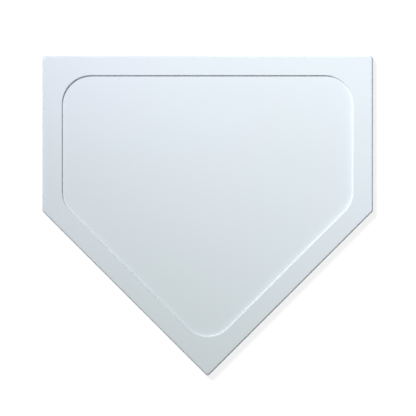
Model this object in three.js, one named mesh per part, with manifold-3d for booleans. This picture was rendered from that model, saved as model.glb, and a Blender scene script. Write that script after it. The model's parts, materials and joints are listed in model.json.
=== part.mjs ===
// Home plate for baseball. A white rubber cover, moulded with a raised rim round a sunken field, turns in
// under a plywood board. A black waffle pad, screwed to the board from below, traps the turned-in lip.
// Millimetres, +Z up. The origin is on the ground under the middle of the plate's box. The straight front
// edge is at +Y and the point is at -Y.
import * as THREE from "three";
import { mergeVertices } from "three/addons/utils/BufferGeometryUtils.js";
import Module from "manifold-3d";

const wasm = await Module();
wasm.setup();

// Outline at the foot of the side walls, with its corners still sharp
const PLATE_WIDTH = 431.8; // front edge, 17 in
const SIDE_LENGTH = 203.2; // each edge that stands square to the front, 8 in
const POINT_DEPTH = 215.9; // from the ends of the sides to the point, 8.5 in
const CORNER_RADIUS = 3.5;

// White rubber cover
const RIM_WIDTH = 25; // flat top of the rim, from the top of the side wall to the step
const STEP_DEPTH = 3.2; // from the rim down to the sunken field, 1/8 in
const STEP_LEAN = 0.3; // draft of the step's wall, from top to foot
const STEP_ROUND = 0.5; // round between the rim and the step's wall
const STEP_RADIUS = 38.1; // corners of the sunken field, 1.5 in
const FIELD_THICKNESS = 2.4; // rubber over the board
const WALL_LEAN = 1; // draft of the side walls, from foot to top
const EDGE_ROUND = 1.2; // round between the side wall and the rim
const FOOT_CHAMFER = 0.6;
const SKIRT_WALL = 6; // side wall, measured at the foot
const SKIRT_INNER_RADIUS = 5;
const LIP_THICKNESS = 1.8; // the cover's edge that turns in under the board
const LIP_PAST_SCREW = 7; // how far the lip runs on past the middle of a screw
const LIP_RADIUS = 12;

// Plywood board
const BOARD_THICKNESS = 5.5;

// Black waffle pad
const PAD_THICKNESS = 4.4;
const PAD_WEB = 1.6; // rubber left over the waffle's hollows
const PAD_BORDER = 8; // plain band between the pad's edge and the waffle
const WAFFLE_PITCH = 25; // from rib to rib
const RIB_WIDTH = 4; // at the ground
const HOLLOW_DRAFT = 0.6; // how much a hollow closes in on each side on its way up
const HOLLOW_RADIUS = 3; // corners of the waffle's border
const LEAST_HOLLOW = 0.05; // share of a whole hollow below which a cut one is left filled
const BOSS_WALL = 3; // rubber round a washer's seat
const SEAT_EDGE_WALL = 3; // rubber between a washer's seat and the pad's edge

// Countersunk screws and their cup washers
const SHANK_RADIUS = 1.75;
const SCREW_POINT = 2.2; // length of the tapered point
const HEAD_RADIUS = 3.5;
const HEAD_CLEARANCE = 0.8; // from the ground up to the screw head
const TIP_COVER = 0.8; // wood left over a screw's point
const WASHER_RADIUS = 5.5;
const WASHER_HEIGHT = 1.5;
const WASHER_RIM = 0.5; // thickness of the washer's edge

// Fits
const GLUE_LINE = 0.2; // between faces that are glued or clamped
const FIT_GAP = 0.3; // round pieces that drop into a recess or a hole

// Faceting
const CORNER_STEPS = 8;
const HOLE_STEPS = 20;
const ROUND_STEPS = 3;
const OVERCUT = 1; // how far a cutter runs on past the face that it opens

// Heights, from the ground up
const boardFoot = PAD_THICKNESS + GLUE_LINE;
const lipTop = boardFoot + LIP_THICKNESS;
const boardTop = boardFoot + BOARD_THICKNESS;
const pocketTop = boardTop + GLUE_LINE;
const fieldTop = pocketTop + FIELD_THICKNESS;
const rimTop = fieldTop + STEP_DEPTH;
const washerSeat = HEAD_CLEARANCE + WASHER_HEIGHT;
const padSeat = washerSeat + GLUE_LINE;
const hollowTop = PAD_THICKNESS - PAD_WEB;
const cutterFoot = -OVERCUT;
const clipperFoot = cutterFoot - OVERCUT;
const screwTip = boardTop - TIP_COVER;

// Radii of the holes and seats, and insets from the outline at the foot of the side walls
const stepInset = WALL_LEAN + RIM_WIDTH;
const padInset = SKIRT_WALL + FIT_GAP;
const seatRadius = WASHER_RADIUS + FIT_GAP;
const pilotRadius = SHANK_RADIUS + FIT_GAP;
const padHoleRadius = HEAD_RADIUS;
const screwInset = padInset + SEAT_EDGE_WALL + seatRadius;
const lipInset = screwInset + LIP_PAST_SCREW;

// The outline's rounded point falls short of its sharp one, and the origin allows for that.
const pointHalfAngle = Math.atan2(PLATE_WIDTH / 2, POINT_DEPTH);
const pointCut = CORNER_RADIUS * (1 / Math.sin(pointHalfAngle) - 1);
const frontY = (SIDE_LENGTH + POINT_DEPTH - pointCut) / 2;
const sideEndY = frontY - SIDE_LENGTH;
const halfWidth = PLATE_WIDTH / 2;
const sharpCorners = [
  new THREE.Vector2(0, sideEndY - POINT_DEPTH),
  new THREE.Vector2(halfWidth, sideEndY),
  new THREE.Vector2(halfWidth, frontY),
  new THREE.Vector2(-halfWidth, frontY),
  new THREE.Vector2(-halfWidth, sideEndY),
];

// The five sharp corners after every edge has moved in by the inset, counterclockwise from the point.
function cornersAt(inset) {
  const count = sharpCorners.length;
  const normals = sharpCorners.map((corner, i) => {
    const along = sharpCorners[(i + 1) % count].clone().sub(corner).normalize();
    return new THREE.Vector2(along.y, -along.x);
  });
  return sharpCorners.map((corner, i) => {
    const before = normals[(i + count - 1) % count];
    const after = normals[i];
    const mitre = before.clone().add(after).multiplyScalar(inset / (1 + before.dot(after)));
    return corner.clone().sub(mitre);
  });
}

// The outline moved in by the inset, with every corner rounded to the radius by the same number of points.
function outline(inset, radius) {
  const corners = cornersAt(inset);
  return corners.flatMap((corner, i) => {
    const back = corners.at(i - 1).clone().sub(corner).normalize();
    const on = corners[(i + 1) % corners.length].clone().sub(corner).normalize();
    const halfAngle = Math.acos(back.dot(on)) / 2;
    const bisector = back.clone().add(on).normalize();
    const centre = corner.clone().addScaledVector(bisector, radius / Math.sin(halfAngle));
    const start = corner.clone().addScaledVector(back, radius / Math.tan(halfAngle)).sub(centre).angle();
    const turn = Math.PI - 2 * halfAngle;
    return Array.from({ length: CORNER_STEPS + 1 }, (_, k) => {
      const angle = start + (turn * k) / CORNER_STEPS;
      return new THREE.Vector2(Math.cos(angle), Math.sin(angle)).multiplyScalar(radius).add(centre);
    });
  });
}

// A closed skin carried round the outline through stations of [inset, corner radius, height]. The first
// station is capped facing down and the last one facing up.
function sweep(stations) {
  const loops = stations.map(([inset, radius]) => outline(inset, radius));
  const count = loops[0].length;
  const positions = loops.flatMap((loop, s) => loop.flatMap((p) => [p.x, p.y, stations[s][2]]));
  const faces = [];
  for (let s = 0; s + 1 < loops.length; s++) {
    for (let i = 0; i < count; i++) {
      const low = s * count + i;
      const lowNext = s * count + ((i + 1) % count);
      faces.push(low, lowNext, lowNext + count, low, lowNext + count, low + count);
    }
  }
  const last = (loops.length - 1) * count;
  for (const [a, b, c] of THREE.ShapeUtils.triangulateShape(loops[0], [])) faces.push(a, c, b);
  for (const [a, b, c] of THREE.ShapeUtils.triangulateShape(loops.at(-1), []))
    faces.push(last + a, last + b, last + c);
  const geometry = new THREE.BufferGeometry();
  geometry.setAttribute("position", new THREE.Float32BufferAttribute(positions, 3));
  return geometry.setIndex(faces);
}

// A round bar along Z, for holes, seats and bosses.
function bar(radius, low, high, at) {
  const geometry = new THREE.CylinderGeometry(radius, radius, high - low, HOLE_STEPS);
  return geometry.rotateX(Math.PI / 2).translate(at.x, at.y, (low + high) / 2);
}

// A profile of [radius, height] turned about Z.
function turned(profile) {
  const points = profile.map(([radius, height]) => new THREE.Vector2(radius, height));
  return new THREE.LatheGeometry(points, HOLE_STEPS).rotateX(Math.PI / 2);
}

// Booleans: a geometry as a solid, several as one, and a solid back as a geometry.
function solidOf(geometry) {
  const bare = new THREE.BufferGeometry().setAttribute("position", geometry.getAttribute("position"));
  const merged = mergeVertices(bare.setIndex(geometry.index));
  const vertProperties = merged.getAttribute("position").array;
  const triVerts = new Uint32Array(merged.index.array);
  return new wasm.Manifold(new wasm.Mesh({ numProp: 3, vertProperties, triVerts }));
}

function joined(solids) {
  return solids.reduce((all, next) => all.add(next));
}

function geometryOf(solid) {
  const { vertProperties, triVerts } = solid.getMesh();
  const geometry = new THREE.BufferGeometry();
  geometry.setAttribute("position", new THREE.BufferAttribute(vertProperties, 3));
  return geometry.setIndex(new THREE.BufferAttribute(triVerts, 1));
}

// Screw places: each corner, the middle of each edge, and the rib crossing nearest the plate's centre of area.
function screwPlaces() {
  const corners = cornersAt(screwInset);
  const middles = corners.map((corner, i) => corner.clone().lerp(corners[(i + 1) % corners.length], 0.5));
  const rectangle = PLATE_WIDTH * SIDE_LENGTH;
  const triangle = (PLATE_WIDTH * POINT_DEPTH) / 2;
  const moment = rectangle * (sideEndY + SIDE_LENGTH / 2) + triangle * (sideEndY - POINT_DEPTH / 3);
  const crossing = Math.round(moment / (rectangle + triangle) / WAFFLE_PITCH) * WAFFLE_PITCH;
  return { rim: [...corners, ...middles], centre: new THREE.Vector2(0, crossing) };
}

const places = screwPlaces();
const allPlaces = [...places.rim, places.centre];

// White rubber cover: under the field, down the pocket, round the lip and the skirt, up the side wall, over
// the rim and down the step.
function plateCover() {
  const edgeRound = Array.from({ length: ROUND_STEPS + 1 }, (_, k) => {
    const angle = (Math.PI / 2) * (k / ROUND_STEPS);
    const inset = WALL_LEAN + EDGE_ROUND * (1 - Math.cos(angle));
    return [inset, CORNER_RADIUS, rimTop - EDGE_ROUND * (1 - Math.sin(angle))];
  });
  const stepRound = Array.from({ length: ROUND_STEPS + 1 }, (_, k) => {
    const angle = (Math.PI / 2) * (k / ROUND_STEPS);
    const setBack = STEP_ROUND * (1 - Math.sin(angle));
    return [stepInset - setBack, STEP_RADIUS + setBack, rimTop - STEP_ROUND * (1 - Math.cos(angle))];
  });
  const skin = sweep([
    [SKIRT_WALL, SKIRT_INNER_RADIUS, pocketTop],
    [SKIRT_WALL, SKIRT_INNER_RADIUS, lipTop],
    [lipInset, LIP_RADIUS, lipTop],
    [lipInset, LIP_RADIUS, boardFoot],
    [SKIRT_WALL, SKIRT_INNER_RADIUS, boardFoot],
    [SKIRT_WALL, SKIRT_INNER_RADIUS, 0],
    [FOOT_CHAMFER, CORNER_RADIUS, 0],
    [0, CORNER_RADIUS, FOOT_CHAMFER],
    ...edgeRound,
    ...stepRound,
    [stepInset + STEP_LEAN, STEP_RADIUS - STEP_LEAN, fieldTop],
  ]);
  const lipHoles = places.rim.map((at) => solidOf(bar(pilotRadius, boardFoot - OVERCUT, lipTop + OVERCUT, at)));
  return geometryOf(solidOf(skin).subtract(joined(lipHoles)));
}

// Plywood board, rebated round its lower edge for the lip and drilled for the screws.
function coreBoard() {
  const rebateTop = lipTop + GLUE_LINE;
  const blank = sweep([
    [lipInset + FIT_GAP, LIP_RADIUS - FIT_GAP, boardFoot],
    [lipInset + FIT_GAP, LIP_RADIUS - FIT_GAP, rebateTop],
    [SKIRT_WALL + FIT_GAP, SKIRT_INNER_RADIUS - FIT_GAP, rebateTop],
    [SKIRT_WALL + FIT_GAP, SKIRT_INNER_RADIUS - FIT_GAP, boardTop],
  ]);
  const pilots = allPlaces.map((at) => solidOf(bar(pilotRadius, boardFoot - OVERCUT, boardTop + OVERCUT, at)));
  return geometryOf(solidOf(blank).subtract(joined(pilots)));
}

// One hollow of the waffle, a square that closes in on its way up, centred between four rib crossings.
function hollow(column, row) {
  const depth = hollowTop - cutterFoot;
  const topHalf = (WAFFLE_PITCH - RIB_WIDTH) / 2 - HOLLOW_DRAFT;
  const footHalf = topHalf + (HOLLOW_DRAFT * depth) / hollowTop;
  const square = new THREE.CylinderGeometry(topHalf * Math.SQRT2, footHalf * Math.SQRT2, depth, 4);
  const x = (column + 0.5) * WAFFLE_PITCH;
  const y = (row + 0.5) * WAFFLE_PITCH;
  return square.rotateY(Math.PI / 4).rotateX(Math.PI / 2).translate(x, y, hollowTop - depth / 2);
}

// Black waffle pad: a flat pad less the hollows between its ribs, the screw holes and the washer seats.
function wafflePad() {
  const edgeRadius = SKIRT_INNER_RADIUS - FIT_GAP;
  const blank = sweep([
    [padInset, edgeRadius, 0],
    [padInset, edgeRadius, PAD_THICKNESS],
  ]);
  const waffleArea = solidOf(
    sweep([
      [padInset + PAD_BORDER, HOLLOW_RADIUS, clipperFoot],
      [padInset + PAD_BORDER, HOLLOW_RADIUS, PAD_THICKNESS],
    ]),
  );
  const bossRadius = seatRadius + BOSS_WALL;
  const bosses = joined(allPlaces.map((at) => solidOf(bar(bossRadius, clipperFoot, PAD_THICKNESS, at))));
  const leastVolume = LEAST_HOLLOW * solidOf(hollow(0, 0)).volume();
  const columns = Math.ceil(halfWidth / WAFFLE_PITCH);
  const rows = Math.ceil(frontY / WAFFLE_PITCH);
  const hollows = [];
  for (let row = -rows; row < rows; row++) {
    for (let column = -columns; column < columns; column++) {
      const cut = solidOf(hollow(column, row)).intersect(waffleArea).subtract(bosses);
      hollows.push(...cut.decompose().filter((piece) => piece.volume() > leastVolume));
    }
  }
  const drilled = allPlaces.flatMap((at) => [
    solidOf(bar(padHoleRadius, 0, PAD_THICKNESS + OVERCUT, at)),
    solidOf(bar(seatRadius, cutterFoot, padSeat, at)),
  ]);
  return geometryOf(solidOf(blank).subtract(joined([...hollows, ...drilled])));
}

// Countersunk screw, head down, driven up through the pad and the lip into the board.
function padScrew() {
  const coneTop = HEAD_CLEARANCE + HEAD_RADIUS - SHANK_RADIUS;
  return turned([
    [0, HEAD_CLEARANCE],
    [HEAD_RADIUS, HEAD_CLEARANCE],
    [SHANK_RADIUS, coneTop],
    [SHANK_RADIUS, screwTip - SCREW_POINT],
    [0, screwTip],
  ]);
}

// Cup washer: its flange lies on the seat in the pad and its cup dips down round the screw head.
function cupWasher() {
  const cupRadius = HEAD_RADIUS + FIT_GAP;
  const holeRadius = Math.max(SHANK_RADIUS + FIT_GAP, cupRadius - WASHER_HEIGHT);
  return turned([
    [holeRadius, washerSeat],
    [cupRadius, HEAD_CLEARANCE],
    [cupRadius + WASHER_RIM, HEAD_CLEARANCE],
    [WASHER_RADIUS, washerSeat - WASHER_RIM],
    [WASHER_RADIUS, washerSeat],
    [holeRadius, washerSeat],
  ]);
}

const WHITE_RUBBER = new THREE.MeshStandardMaterial({ color: 0xdfe7ec, roughness: 0.5, metalness: 0 });
const BLACK_RUBBER = new THREE.MeshStandardMaterial({ color: 0x1d1d1f, roughness: 0.8, metalness: 0 });
const PLYWOOD = new THREE.MeshStandardMaterial({ color: 0xc8a572, roughness: 0.75, metalness: 0 });
const ZINC_STEEL = new THREE.MeshStandardMaterial({ color: 0xb9bcc0, roughness: 0.35, metalness: 1 });

function piece(name, geometry, material, at = new THREE.Vector2()) {
  const flat = geometry.index ? geometry.toNonIndexed() : geometry;
  flat.computeVertexNormals();
  const mesh = new THREE.Mesh(flat, material);
  mesh.name = name;
  mesh.position.set(at.x, at.y, 0);
  return mesh;
}

const homePlate = new THREE.Group();
homePlate.add(
  piece("plate_cover", plateCover(), WHITE_RUBBER),
  piece("core_board", coreBoard(), PLYWOOD),
  piece("waffle_pad", wafflePad(), BLACK_RUBBER),
);
allPlaces.forEach((at, i) => {
  homePlate.add(piece(`pad_screw_${i + 1}`, padScrew(), ZINC_STEEL, at));
  homePlate.add(piece(`cup_washer_${i + 1}`, cupWasher(), ZINC_STEEL, at));
});

export default homePlate;
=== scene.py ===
"""Home plate for baseball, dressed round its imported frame. Metres, +Z up, front edge at +Y, point at -Y."""

import json
import math

import bmesh
import bpy
import numpy as np
from mathutils import Matrix, Vector


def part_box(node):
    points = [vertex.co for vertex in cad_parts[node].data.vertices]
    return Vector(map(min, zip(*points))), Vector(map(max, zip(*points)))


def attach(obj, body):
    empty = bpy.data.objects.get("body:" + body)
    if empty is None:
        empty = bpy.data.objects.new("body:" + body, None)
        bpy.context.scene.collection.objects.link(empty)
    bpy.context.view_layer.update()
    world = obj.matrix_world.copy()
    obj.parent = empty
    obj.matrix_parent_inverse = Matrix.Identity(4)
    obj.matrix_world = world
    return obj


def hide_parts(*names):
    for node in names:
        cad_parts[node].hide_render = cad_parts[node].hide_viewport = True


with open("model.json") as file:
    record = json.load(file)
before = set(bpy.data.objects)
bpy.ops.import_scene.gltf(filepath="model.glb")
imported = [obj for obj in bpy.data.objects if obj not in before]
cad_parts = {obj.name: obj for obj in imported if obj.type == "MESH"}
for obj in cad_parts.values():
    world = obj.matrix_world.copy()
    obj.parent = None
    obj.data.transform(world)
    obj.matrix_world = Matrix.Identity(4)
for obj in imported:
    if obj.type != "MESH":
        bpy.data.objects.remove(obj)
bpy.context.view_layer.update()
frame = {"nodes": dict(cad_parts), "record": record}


# Plywood board: the stiff core of the plate, five birch veneers glued crosswise, sawn to the pentagon,
# rebated round its lower edge for the cover's lip and drilled for the screws. The frame's own solid has
# that shape.
BOARD_PLIES = 5
BOARD_FACE_PALE = (0.66, 0.48, 0.28, 1)
BOARD_FACE_DARK = (0.50, 0.33, 0.17, 1)
BOARD_CROSS_PLY = (0.36, 0.22, 0.11, 1)
BOARD_ROUGHNESS = 0.7
BOARD_GRAIN_STRETCH = (7, 150, 150)
BOARD_GRAIN_DETAIL = 6
BOARD_GRAIN_STRENGTH = 0.2
BOARD_GRAIN_DEPTH = 0.0002


def add_node(tree, kind, values=None, **settings):
    """A shader node with its settings, and with values or links put into its inputs by name or number."""
    node = tree.nodes.new(kind)
    for setting, value in settings.items():
        setattr(node, setting, value)
    for socket, value in (values or {}).items():
        if isinstance(value, bpy.types.NodeSocket):
            tree.links.new(value, node.inputs[socket])
        else:
            node.inputs[socket].default_value = value
    return node


def mix_colours(tree, share, first, second):
    """The colour that goes from the first to the second as the share goes from 0 to 1."""
    # A Mix node has one set of sockets for each kind of value. Inputs 6 and 7 and output 2 are the colours.
    mix = add_node(tree, "ShaderNodeMix", {0: share, 6: first, 7: second}, data_type="RGBA")
    return mix.outputs[2]


def math_node(tree, operation, *values):
    """The result of one arithmetic operation on values or links."""
    return add_node(tree, "ShaderNodeMath", dict(enumerate(values)), operation=operation).outputs[0]


def spread_value(tree, value, low, high):
    """A value between 0 and 1 spread over the range from low to high."""
    node = add_node(tree, "ShaderNodeMapRange", {"Value": value, "To Min": low, "To Max": high})
    return node.outputs["Result"]


def noise_field(tree, place, scale, detail):
    """Smooth noise between 0 and 1 at a place, with as many finer layers as the detail says."""
    noise = add_node(tree, "ShaderNodeTexNoise", {"Vector": place, "Scale": scale, "Detail": detail})
    return noise.outputs["Fac"]


def new_finish(name, **values):
    """A material with one Principled shader that has the plain values, its node tree and that shader."""
    material = bpy.data.materials.new(name)
    material.use_nodes = True
    shader = material.node_tree.nodes["Principled BSDF"]
    for socket, value in values.items():
        shader.inputs[socket.replace("_", " ").title()].default_value = value
    return material, material.node_tree, shader


def add_bump(tree, shader, height, strength, depth):
    """Bump on the shader's surface that follows the height, which spans the depth in metres."""
    bump = add_node(tree, "ShaderNodeBump", {"Height": height, "Strength": strength, "Distance": depth})
    tree.links.new(bump.outputs["Normal"], shader.inputs["Normal"])


def birch_plywood(foot, thickness):
    """Birch grain stretched along X on the faces. Every second ply of the thickness is turned and darker."""
    material, tree, shader = new_finish("birch_plywood", roughness=BOARD_ROUGHNESS)
    place = add_node(tree, "ShaderNodeTexCoord").outputs["Object"]
    along = add_node(tree, "ShaderNodeMapping", {"Vector": place, "Scale": BOARD_GRAIN_STRETCH}).outputs[0]
    grain = noise_field(tree, along, 1.0, BOARD_GRAIN_DETAIL)
    face = mix_colours(tree, grain, BOARD_FACE_PALE, BOARD_FACE_DARK)
    height = add_node(tree, "ShaderNodeSeparateXYZ", {0: place}).outputs["Z"]
    ply = math_node(tree, "MULTIPLY", math_node(tree, "SUBTRACT", height, foot), BOARD_PLIES / thickness)
    turned = math_node(tree, "FLOORED_MODULO", math_node(tree, "FLOOR", ply), 2.0)
    colour = mix_colours(tree, turned, face, BOARD_CROSS_PLY)
    tree.links.new(colour, shader.inputs["Base Color"])
    add_bump(tree, shader, grain, BOARD_GRAIN_STRENGTH, BOARD_GRAIN_DEPTH)
    return material


board_low, board_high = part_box("core_board")
board = frame["nodes"]["core_board"]
board.data.materials.clear()
board.data.materials.append(birch_plywood(board_low.z, board_high.z - board_low.z))


# White rubber cover: one moulding with a raised rim round a sunken field, side walls with a little draft
# and a lip that turns in under the board. It is compression moulded, so its edges are eased and its skin
# has a fine grain. The lip is drilled for the screws.
SIDE_LENGTH = 0.2032
CORNER_RADIUS = 0.0035
RIM_WIDTH = 0.025
WALL_LEAN = 0.001
STEP_LEAN = 0.0003
STEP_RADIUS = 0.0381
SKIRT_WALL = 0.006
SKIRT_INNER_RADIUS = 0.005
LIP_REACH = 0.0161
LIP_THICKNESS = 0.0018
LIP_RADIUS = 0.012
LIP_HOLE_RADIUS = 0.00205
LIP_HOLE_SIDES = 32
WELD_DISTANCE = 1e-6
GLUE_LINE = 0.0002
TOP_EDGE_EASE = 0.0016
STEP_TOP_EASE = 0.0007
STEP_FOOT_EASE = 0.0003
FOOT_EASE = 0.0007
HIDDEN_EASE = 0.0003
EASE_STEPS = 6
FLAT_SUPPORT = (0.0003, 0.002)  # from an eased corner to the two rows that keep the flat beside it flat
FLAT_SHARES = (0.15, 0.3)  # the most of a short flat that those rows take
ARC_STEPS = 16
RUN_SHARES = (0.004, 0.02, 0.1, 0.3, 0.5, 0.7, 0.9, 0.98, 0.996)  # points along each straight run
END_FLAT = 0.01  # flat at both ends of the section, on the pocket's ceiling and on the field
FACE_RINGS = (0.25, 0.5, 0.75)  # rings between those ends and the middle of the face
FACE_MIDDLE_Y = 0.035
SHARP_EDGE_DEG = 50
# Greenish and bluish white mixed by the cover's broad clouds, and where those clouds lie: partly the rubber's
# own tint, partly painted reflection and uneven light.
RUBBER_WHITE_GREENISH = (0.69, 0.785, 0.75, 1)
RUBBER_WHITE_BLUISH = (0.785, 0.82, 0.965, 1)
RUBBER_TINT_AND_LIGHT_CLOUD_PLACE = (1.75, 1.25, 0)
RUBBER_GRAIN_DETAIL = 2
RUBBER_CLOUD_DETAIL = 3
RUBBER_GRAIN_STRENGTH = 0.3

cover_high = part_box("plate_cover")[1]
half_width = cover_high.x
side_end = cover_high.y - SIDE_LENGTH
rim_top = cover_high.z
field_top = next(m["pos_m"][2] for m in frame["record"]["mounts"] if m["name"] == "field_face")
fastener_numbers = sorted(
    node.removeprefix("pad_screw_") for node in frame["nodes"] if node.startswith("pad_screw_")
)


def plate_outlines(insets, radii):
    """Closed pentagons, one for each inset and corner radius, counterclockwise from the point.

    Every edge of the sharp pentagon moves in by the inset along its normal. Each corner is an arc about a
    centre that lies on the corner's bisector, its radius away from both edges, swept from the normal of the
    edge before it to the normal of the edge after it. Straight runs join the arcs, with points close to
    both ends.
    """
    corners = np.array([
        (0, side_end - half_width),
        (half_width, side_end),
        (half_width, cover_high.y),
        (-half_width, cover_high.y),
        (-half_width, side_end),
    ])
    along = np.roll(corners, -1, axis=0) - corners
    along /= np.linalg.norm(along, axis=1, keepdims=True)
    after = np.stack([along[:, 1], -along[:, 0]], axis=1)
    before = np.roll(after, 1, axis=0)
    mitre = (before + after) / (1 + np.sum(before * after, axis=1, keepdims=True))
    centres = corners - mitre * (insets + radii)[:, None, None]
    start = np.arctan2(before[:, 1], before[:, 0])
    turn = np.arccos(np.sum(before * after, axis=1))
    angles = start[:, None] + turn[:, None] * np.linspace(0, 1, ARC_STEPS + 1)
    unit = np.stack([np.cos(angles), np.sin(angles)], axis=-1)
    arcs = centres[:, :, None] + radii[:, None, None, None] * unit
    leave, arrive = arcs[:, :, -1:], np.roll(arcs[:, :, :1], -1, axis=1)
    runs = leave + (arrive - leave) * np.array(RUN_SHARES)[:, None]
    return np.concatenate([arcs, runs], axis=2).reshape(len(insets), -1, 2)


def eased_profile(corners, ease, steps=EASE_STEPS):
    """A path through corner rows, eased at each inner corner.

    The first two columns of a row are its place in the section. Each inner corner is cut back by its ease
    along both sides, and a parabola tangent to both sides joins the cuts. Two more rows on each side, close
    to the cuts, keep the flats flat. The other columns change evenly with the place.
    """
    reach = np.linalg.norm(np.diff(corners[:, :2], axis=0), axis=1)
    along = np.diff(corners, axis=0) / reach[:, None]
    eases = np.concatenate([[0], ease, [0]])
    flat = reach - eases[:-1] - eases[1:]
    room = np.minimum(FLAT_SUPPORT, flat[:, None] * FLAT_SHARES)
    cut = ease[:, None, None]
    towards, away = along[:-1, None], along[1:, None]
    share = np.linspace(0, 1, steps + 1)[:, None]
    before = -(cut + room[:-1, ::-1, None]) * towards
    bend = cut * (share**2 * away - (1 - share) ** 2 * towards)
    after = (cut + room[1:, :, None]) * away
    rows = corners[1:-1, None] + np.concatenate([before, bend, after], axis=1)
    return np.concatenate([corners[:1], rows.reshape(-1, corners.shape[1]), corners[-1:]])


def skin_mesh(name, rings, poles=None):
    """A mesh through closed rings of points, shape (rings, points, 3), with quads between the rings.

    The rings run counterclockwise as seen from the last one's side. With poles the first and the last ring
    close on one point each. Without them the last ring joins the first.
    """
    across = rings.shape[1]
    index = np.arange(rings.shape[0] * across).reshape(-1, across)
    low, high = (index, np.roll(index, -1, axis=0)) if poles is None else (index[:-1], index[1:])
    quads = np.stack([low, np.roll(low, -1, 1), np.roll(high, -1, 1), high], axis=-1).reshape(-1, 4)
    points, fans = rings.reshape(-1, 3), []
    if poles is not None:
        foot, top = np.full(across, len(points)), np.full(across, len(points) + 1)
        fans = np.concatenate([
            np.stack([foot, np.roll(index[0], -1), index[0]], axis=-1),
            np.stack([top, index[-1], np.roll(index[-1], -1)], axis=-1),
        ]).tolist()
        points = np.concatenate([points, poles])
    mesh = bpy.data.meshes.new(name)
    mesh.from_pydata(points.tolist(), [], quads.tolist() + fans)
    mesh.shade_smooth()
    mesh.set_sharp_from_angle(angle=math.radians(SHARP_EDGE_DEG))
    return mesh


def place_piece(mesh, material, slot, *nodes):
    """An object for the mesh, riding on the plate's one body in place of the frame's nodes."""
    piece = bpy.data.objects.new(mesh.name, mesh)
    bpy.context.scene.collection.objects.link(piece)
    mesh.materials.clear()
    mesh.materials.append(material)
    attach(piece, "root")
    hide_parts(*nodes)
    return piece


def cover_rings():
    """The cover's section carried round the pentagon, and the points where the pocket and the field close.

    The section runs out along the pocket's ceiling, round the lip and the skirt, up the side wall, over the
    rim and down the step on to the field. Its columns are inset, height and corner radius.
    """
    lip_foot, lip_top = board_low.z, board_low.z + LIP_THICKNESS
    pocket_top = board_high.z + GLUE_LINE
    lip_inset = SKIRT_WALL + LIP_REACH
    step = WALL_LEAN + RIM_WIDTH
    step_foot = step + STEP_LEAN
    section = np.array([
        (SKIRT_WALL + END_FLAT, pocket_top, SKIRT_INNER_RADIUS),
        (SKIRT_WALL, pocket_top, SKIRT_INNER_RADIUS),
        (SKIRT_WALL, lip_top, SKIRT_INNER_RADIUS),
        (lip_inset, lip_top, LIP_RADIUS),
        (lip_inset, lip_foot, LIP_RADIUS),
        (SKIRT_WALL, lip_foot, SKIRT_INNER_RADIUS),
        (SKIRT_WALL, 0, SKIRT_INNER_RADIUS),
        (0, 0, CORNER_RADIUS),
        (WALL_LEAN, rim_top, CORNER_RADIUS),
        (step, rim_top, STEP_RADIUS),
        (step_foot, field_top, STEP_RADIUS - STEP_LEAN),
        (step_foot + END_FLAT, field_top, STEP_RADIUS - STEP_LEAN - END_FLAT),
    ])
    seen_eases = [FOOT_EASE, FOOT_EASE, TOP_EDGE_EASE, STEP_TOP_EASE, STEP_FOOT_EASE]
    hidden_eases = [HIDDEN_EASE] * (len(section) - 2 - len(seen_eases))
    insets, heights, radii = eased_profile(section, np.array(hidden_eases + seen_eases)).T
    outlines = plate_outlines(insets, radii)
    levels = np.broadcast_to(heights[:, None, None], (*outlines.shape[:2], 1))
    rings = np.concatenate([outlines, levels], axis=2)
    inward = np.array(FACE_RINGS)[:, None, None]
    ceiling, field = np.array([(0, FACE_MIDDLE_Y, pocket_top), (0, FACE_MIDDLE_Y, field_top)])
    under = ceiling + inward * (rings[0] - ceiling)
    over = field + inward[::-1] * (rings[-1] - field)
    return np.concatenate([under, rings, over]), np.array([ceiling, field])


def lip_drill():
    """An upright cylinder about the axis of each screw, tall enough to pass right through the lip."""
    mesh = bpy.data.meshes.new("lip_drill")
    work = bmesh.new()
    for number in fastener_numbers:
        low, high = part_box(f"pad_screw_{number}")
        place = ((low.x + high.x) / 2, (low.y + high.y) / 2, board_low.z + LIP_THICKNESS / 2)
        bmesh.ops.create_cone(
            work,
            cap_ends=True,
            segments=LIP_HOLE_SIDES,
            radius1=LIP_HOLE_RADIUS,
            radius2=LIP_HOLE_RADIUS,
            depth=2 * LIP_THICKNESS,
            matrix=Matrix.Translation(place),
        )
    work.to_mesh(mesh)
    work.free()
    return mesh


def drilled(mesh, drill_mesh):
    """The solid inside the mesh less the solid inside the drill's mesh, welded and with the mesh's name."""
    name = mesh.name
    solid = bpy.data.objects.new(name, mesh)
    drill = bpy.data.objects.new(drill_mesh.name, drill_mesh)
    bpy.context.scene.collection.objects.link(solid)
    bpy.context.scene.collection.objects.link(drill)
    cut = solid.modifiers.new("holes", "BOOLEAN")
    cut.object = drill
    cut.operation = "DIFFERENCE"
    cut.solver = "EXACT"
    result = bpy.data.meshes.new_from_object(solid.evaluated_get(bpy.context.evaluated_depsgraph_get()))
    bpy.data.objects.remove(solid)
    bpy.data.objects.remove(drill)
    bpy.data.meshes.remove(mesh)
    bpy.data.meshes.remove(drill_mesh)
    work = bmesh.new()
    work.from_mesh(result)
    bmesh.ops.remove_doubles(work, verts=work.verts, dist=WELD_DISTANCE)
    work.to_mesh(result)
    work.free()
    result.name = name
    result.shade_smooth()
    result.set_sharp_from_angle(angle=math.radians(SHARP_EDGE_DEG))
    return result


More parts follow.
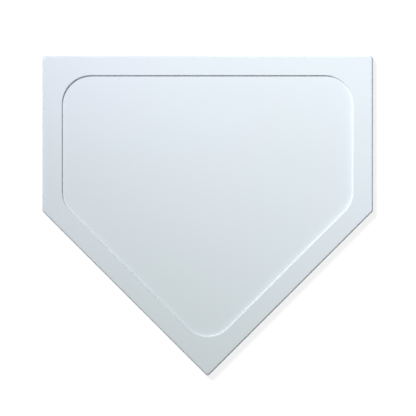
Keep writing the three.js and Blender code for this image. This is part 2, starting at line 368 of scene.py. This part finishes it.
def moulded_rubber_group():
    """A fine grain from the mould and broad clouds that set tone and gloss."""
    group = bpy.data.node_groups.new("moulded_rubber", "ShaderNodeTree")
    for name in ("Grain Size", "Cloud Size"):
        group.interface.new_socket(name, in_out="INPUT", socket_type="NodeSocketFloat")
    group.interface.new_socket("Cloud Place", in_out="INPUT", socket_type="NodeSocketVector")
    for name in ("Grain", "Cloud"):
        group.interface.new_socket(name, in_out="OUTPUT", socket_type="NodeSocketFloat")
    given = add_node(group, "NodeGroupInput").outputs
    place = add_node(group, "ShaderNodeTexCoord").outputs["Object"]
    shifted = add_node(group, "ShaderNodeVectorMath", {0: place, 1: given["Cloud Place"]}).outputs[0]
    grain_scale = math_node(group, "DIVIDE", 1.0, given["Grain Size"])
    cloud_scale = math_node(group, "DIVIDE", 1.0, given["Cloud Size"])
    result = add_node(group, "NodeGroupOutput").inputs
    group.links.new(noise_field(group, place, grain_scale, RUBBER_GRAIN_DETAIL), result["Grain"])
    group.links.new(noise_field(group, shifted, cloud_scale, RUBBER_CLOUD_DETAIL), result["Cloud"])
    return group


rubber_group = moulded_rubber_group()


def rubber_finish(name, colours, roughness, grain_size, grain_depth, cloud_size, cloud_place=(0, 0, 0)):
    """Moulded rubber: its two tones and its gloss follow the clouds, and its bump follows the grain."""
    material, tree, shader = new_finish(name)
    sizes = {"Grain Size": grain_size, "Cloud Size": cloud_size, "Cloud Place": cloud_place}
    moulded = add_node(tree, "ShaderNodeGroup", node_tree=rubber_group)
    for socket, value in sizes.items():
        moulded.inputs[socket].default_value = value
    cloud = moulded.outputs["Cloud"]
    tree.links.new(mix_colours(tree, cloud, *colours), shader.inputs["Base Color"])
    tree.links.new(spread_value(tree, cloud, *roughness), shader.inputs["Roughness"])
    add_bump(tree, shader, moulded.outputs["Grain"], RUBBER_GRAIN_STRENGTH, grain_depth)
    return material


# The white cover's broad clouds shift its tone and tint across the plate: partly the rubber's own tint,
# partly painted reflection and uneven light.
white_rubber = rubber_finish(
    "white_moulded_rubber",
    colours=(RUBBER_WHITE_GREENISH, RUBBER_WHITE_BLUISH),
    roughness=(0.42, 0.56),
    grain_size=0.0009,
    grain_depth=2e-5,
    cloud_size=0.45,
    cloud_place=RUBBER_TINT_AND_LIGHT_CLOUD_PLACE,
)
cover = drilled(skin_mesh("white_cover", *cover_rings()), lip_drill())
place_piece(cover, white_rubber, "white_rubber", "plate_cover")


# Black waffle pad: the moulded rubber sole that closes the cover from below. Square hollows between its ribs
# grip the ground, and solid bosses carry the screws. It is the frame's own solid with every edge eased.
PAD_EDGE_EASE = 0.0004
PAD_EASE_STEPS = 2
PAD_SHARP_DEG = 30
FLAT_WITHIN_DEG = 1
RUBBER_BLACK = (0.016, 0.016, 0.018, 1)
RUBBER_BLACK_CLOUD = (0.026, 0.025, 0.025, 1)


def merged_copy(name, node):
    """A copy of a node's mesh with its loose triangles joined up and those of each flat face merged."""
    mesh = frame["nodes"][node].data.copy()
    mesh.name = name
    work = bmesh.new()
    work.from_mesh(mesh)
    bmesh.ops.remove_doubles(work, verts=work.verts, dist=WELD_DISTANCE)
    flat_within = math.radians(FLAT_WITHIN_DEG)
    bmesh.ops.dissolve_limit(work, angle_limit=flat_within, verts=work.verts, edges=work.edges)
    work.to_mesh(mesh)
    work.free()
    mesh.shade_smooth()
    return mesh


black_rubber = rubber_finish(
    "black_moulded_rubber",
    colours=(RUBBER_BLACK, RUBBER_BLACK_CLOUD),
    roughness=(0.55, 0.75),
    grain_size=0.0006,
    grain_depth=3e-5,
    cloud_size=0.05,
)
pad = place_piece(merged_copy("black_pad", "waffle_pad"), black_rubber, "black_rubber", "waffle_pad")
bevel = pad.modifiers.new("eased_edges", "BEVEL")
bevel.width = PAD_EDGE_EASE
bevel.segments = PAD_EASE_STEPS
bevel.limit_method = "ANGLE"
bevel.angle_limit = math.radians(PAD_SHARP_DEG)
bevel.harden_normals = True


# Cup washers: pressed steel rings, bright zinc plated, that lie in the seats of the pad's bosses. The flange
# spreads the hold on the rubber, and the cup takes the screw's head.
WASHER_SHEET = 0.0005
WASHER_CUP = 0.0038
WASHER_HOLE = 0.0023
WASHER_EASE = 0.00016
WASHER_SIDES = 48
FASTENER_EASE_STEPS = 4
ZINC_BRIGHT = (0.74, 0.75, 0.76, 1)
ZINC_GREY = (0.58, 0.59, 0.61, 1)
ZINC_ROUGHNESS = (0.2, 0.42)
ZINC_PATCH_SCALE = 900
ZINC_PATCH_DETAIL = 4


def turned_rings(radii, heights, node):
    """Rings about the upright axis of a node: a row of radii for each height, spaced evenly in angle."""
    low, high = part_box(node)
    angle = np.arange(radii.shape[1]) * (2 * np.pi / radii.shape[1])
    x = (low.x + high.x) / 2 + radii * np.cos(angle)
    y = (low.y + high.y) / 2 + radii * np.sin(angle)
    return np.stack([x, y, np.broadcast_to(heights[:, None], radii.shape)], axis=2)


def washer_rings(node):
    """The washer's closed section turned once.

    The section runs up the flank of the cup to the flange, in along the seat and down the cone for the head.
    """
    low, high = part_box(node)
    rim = (high.x - low.x) / 2
    rim_middle = (WASHER_CUP + WASHER_SHEET / 2, low.z)
    section = np.array([
        rim_middle,
        (WASHER_CUP + WASHER_SHEET, low.z),
        (rim - WASHER_SHEET, high.z - WASHER_SHEET),
        (rim, high.z - WASHER_SHEET),
        (rim, high.z),
        (WASHER_HOLE, high.z),
        (WASHER_CUP, low.z),
        rim_middle,
    ])
    eases = np.full(len(section) - 2, WASHER_EASE)
    radii, heights = eased_profile(section, eases, FASTENER_EASE_STEPS)[:-1].T
    return turned_rings(np.repeat(radii[:, None], WASHER_SIDES, axis=1), heights, node)


def zinc_finish():
    """Zinc plate on steel: a mirror dulled in fine patches that are also a little greyer."""
    material, tree, shader = new_finish("bright_zinc", metallic=1.0)
    place = add_node(tree, "ShaderNodeTexCoord").outputs["Object"]
    patches = noise_field(tree, place, ZINC_PATCH_SCALE, ZINC_PATCH_DETAIL)
    tree.links.new(mix_colours(tree, patches, ZINC_BRIGHT, ZINC_GREY), shader.inputs["Base Color"])
    tree.links.new(spread_value(tree, patches, *ZINC_ROUGHNESS), shader.inputs["Roughness"])
    return material


zinc = zinc_finish()
for number in fastener_numbers:
    washer = skin_mesh(f"washer_{number}", washer_rings(f"cup_washer_{number}"))
    place_piece(washer, zinc, "zinc_steel", f"cup_washer_{number}")


# Pad screws: short countersunk wood screws with a cross recess, cold headed from steel wire, thread rolled
# and zinc plated. They pass through the washers, the pad and the cover's lip into the board.
SCREW_SIDES = 64
HEAD_RADIUS = 0.0035
HEAD_EASE = 0.00025
HEAD_FLAT = 0.001  # flat ring of the head's face, measured in from its edge
SHANK_RADIUS = 0.00155
THREAD_CORE = 0.00125
THREAD_CREST = 0.00175
THREAD_PITCH = 0.0013
THREAD_STEPS = 10  # rings to a pitch
THREAD_FLANK = 0.3  # from the crest to the foot of the ridge, as a share of the pitch
POINT_LENGTH = 0.0022
RECESS_ARM = 0.0019
RECESS_HALF_SLOT = 0.00042
RECESS_DEPTH = 0.0014
RECESS_TAPER = 0.55
NEARLY_ZERO = 1e-9  # in place of a sine of zero on the middle line of an arm


def cross_outline(angle):
    """Distance from the axis to the side of a cross at an angle: the nearer of an arm's end and flank."""
    off_arm = (angle + np.pi / 4) % (np.pi / 2) - np.pi / 4
    flank = RECESS_HALF_SLOT / np.maximum(np.abs(np.sin(off_arm)), NEARLY_ZERO)
    return np.minimum(RECESS_ARM / np.cos(off_arm), flank)


def screw_rings(node):
    """A screw from the floor of its recess, out over the head, up the cone and the thread to the point.

    The thread is a ridge whose middle climbs one pitch a turn: its height falls off evenly on both sides of
    the helix, and it runs out at the cone and at the point, where the core narrows to nothing.
    """
    low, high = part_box(node)
    face, tip = low.z, high.z
    cone_top = face + HEAD_RADIUS - SHANK_RADIUS
    angle = np.arange(SCREW_SIDES) * (2 * np.pi / SCREW_SIDES)
    recess = cross_outline(angle)
    recess_radii = np.stack([RECESS_TAPER * recess, recess, recess + HEAD_EASE])
    recess_heights = face + np.array([RECESS_DEPTH, HEAD_EASE, 0])
    section = np.array([(HEAD_RADIUS - HEAD_FLAT, face), (HEAD_RADIUS, face), (SHANK_RADIUS, cone_top)])
    head = eased_profile(section, np.array([HEAD_EASE]), FASTENER_EASE_STEPS)
    climb = THREAD_PITCH / THREAD_STEPS
    heights = np.arange(cone_top + climb, tip, climb)[:, None]
    to_point = np.clip((tip - heights) / POINT_LENGTH, 0, 1)
    from_cone = np.clip((heights - cone_top) / THREAD_PITCH, 0, 1)
    off_ridge = np.abs((heights / THREAD_PITCH - angle / (2 * np.pi)) % 1 - 0.5)
    ridge = np.clip(1 - off_ridge / THREAD_FLANK, 0, 1) * (THREAD_CREST - THREAD_CORE)
    thread = THREAD_CORE * to_point + ridge * from_cone * to_point
    radii = np.concatenate([recess_radii, np.repeat(head[:, :1], SCREW_SIDES, axis=1), thread])
    rings = turned_rings(radii, np.concatenate([recess_heights, head[:, 1], heights[:, 0]]), node)
    x, y, _ = rings[-1].mean(axis=0)
    return rings, np.array([(x, y, face + RECESS_DEPTH), (x, y, tip)])


for number in fastener_numbers:
    screw = skin_mesh(f"screw_{number}", *screw_rings(f"pad_screw_{number}"))
    place_piece(screw, zinc, "zinc_steel", f"pad_screw_{number}")


# Camera: far above the plate and looking straight down with a long lens, because the photograph shows the
# plate from above with no perspective.
PHOTO_SIDE_PX = 416
PLATE_WIDTH_PX = 330.8
PLATE_MIDDLE_PX = (207.6, 215.5)
CAMERA_LENS_MM = 1000
CAMERA_SENSOR_MM = 36
CAMERA_REACH = 100

pixel = 2 * half_width / PLATE_WIDTH_PX
camera = bpy.data.objects.new("camera", bpy.data.cameras.new("camera"))
camera.data.lens = CAMERA_LENS_MM
camera.data.sensor_width = CAMERA_SENSOR_MM
camera.data.clip_end = CAMERA_REACH
camera.location = (
    (PHOTO_SIDE_PX / 2 - PLATE_MIDDLE_PX[0]) * pixel,
    (PLATE_MIDDLE_PX[1] - PHOTO_SIDE_PX / 2) * pixel,
    PHOTO_SIDE_PX * pixel * CAMERA_LENS_MM / CAMERA_SENSOR_MM,
)
bpy.context.scene.collection.objects.link(camera)
bpy.context.scene.camera = camera


# Studio: a pale sweep under the plate that shows white, one softbox at the front left and an even surround.
# The softbox is turned far to the right, so its light falls off towards the left side and the point.
FLOOR_REACH = 8.0
FLOOR_GLOW = 0.79
FLOOR_COLOUR = (0.6, 0.6, 0.6, 1)
KEY_PLACE = (-0.75, 1.16, 1.84)
KEY_AIM = (2.96, 0.92, 0)
KEY_SIZE = 0.9
KEY_SPREAD_DEG = 138
KEY_POWER = 66.9
SURROUND = 0.12
STUDIO_WHITE = (1, 1, 1, 1)


def seen_not_lighting(tree):
    """1 for rays from the camera and their mirrored and see-through rays, 0 for light on the object."""
    path = add_node(tree, "ShaderNodeLightPath").outputs
    mirrored = math_node(tree, "MAXIMUM", path["Is Camera Ray"], path["Is Glossy Ray"])
    return math_node(tree, "MAXIMUM", mirrored, path["Is Transmission Ray"])


def floor_finish():
    """Matt pale grey with a glow that is seen but lights nothing, so it shows white and keeps the shadow."""
    material, tree, shader = new_finish("white_sweep", roughness=1.0, base_color=FLOOR_COLOUR)
    shader.inputs["Specular IOR Level"].default_value = 0
    shader.inputs["Emission Color"].default_value = STUDIO_WHITE
    glow = math_node(tree, "MULTIPLY", seen_not_lighting(tree), FLOOR_GLOW)
    tree.links.new(glow, shader.inputs["Emission Strength"])
    return material


def softbox(name, place, aim, size, spread, power):
    """A square panel of light that faces the aim, with its beam narrowed to the spread in degrees."""
    lamp = bpy.data.lights.new(name, "AREA")
    lamp.energy = power
    lamp.size = size
    lamp.spread = math.radians(spread)
    light = bpy.data.objects.new(name, lamp)
    light.location = place
    light.rotation_euler = (Vector(place) - Vector(aim)).to_track_quat("Z", "Y").to_euler()
    light.visible_camera = False
    bpy.context.scene.collection.objects.link(light)


floor_mesh = bpy.data.meshes.new("floor")
floor_square = FLOOR_REACH * np.array([(-1, -1, 0), (1, -1, 0), (1, 1, 0), (-1, 1, 0)])
floor_mesh.from_pydata(floor_square.tolist(), [], [(0, 1, 2, 3)])
floor_mesh.materials.append(floor_finish())
floor = bpy.data.objects.new("floor", floor_mesh)
bpy.context.scene.collection.objects.link(floor)

softbox("key_light", KEY_PLACE, KEY_AIM, KEY_SIZE, KEY_SPREAD_DEG, KEY_POWER)

world = bpy.data.worlds.new("surround")
world.use_nodes = True
bpy.context.scene.world = world
background = world.node_tree.nodes["Background"]
level = spread_value(world.node_tree, seen_not_lighting(world.node_tree), SURROUND, 1.0)
world.node_tree.links.new(level, background.inputs["Strength"])
background.inputs["Color"].default_value = STUDIO_WHITE
bpy.context.scene.view_settings.view_transform = "Standard"
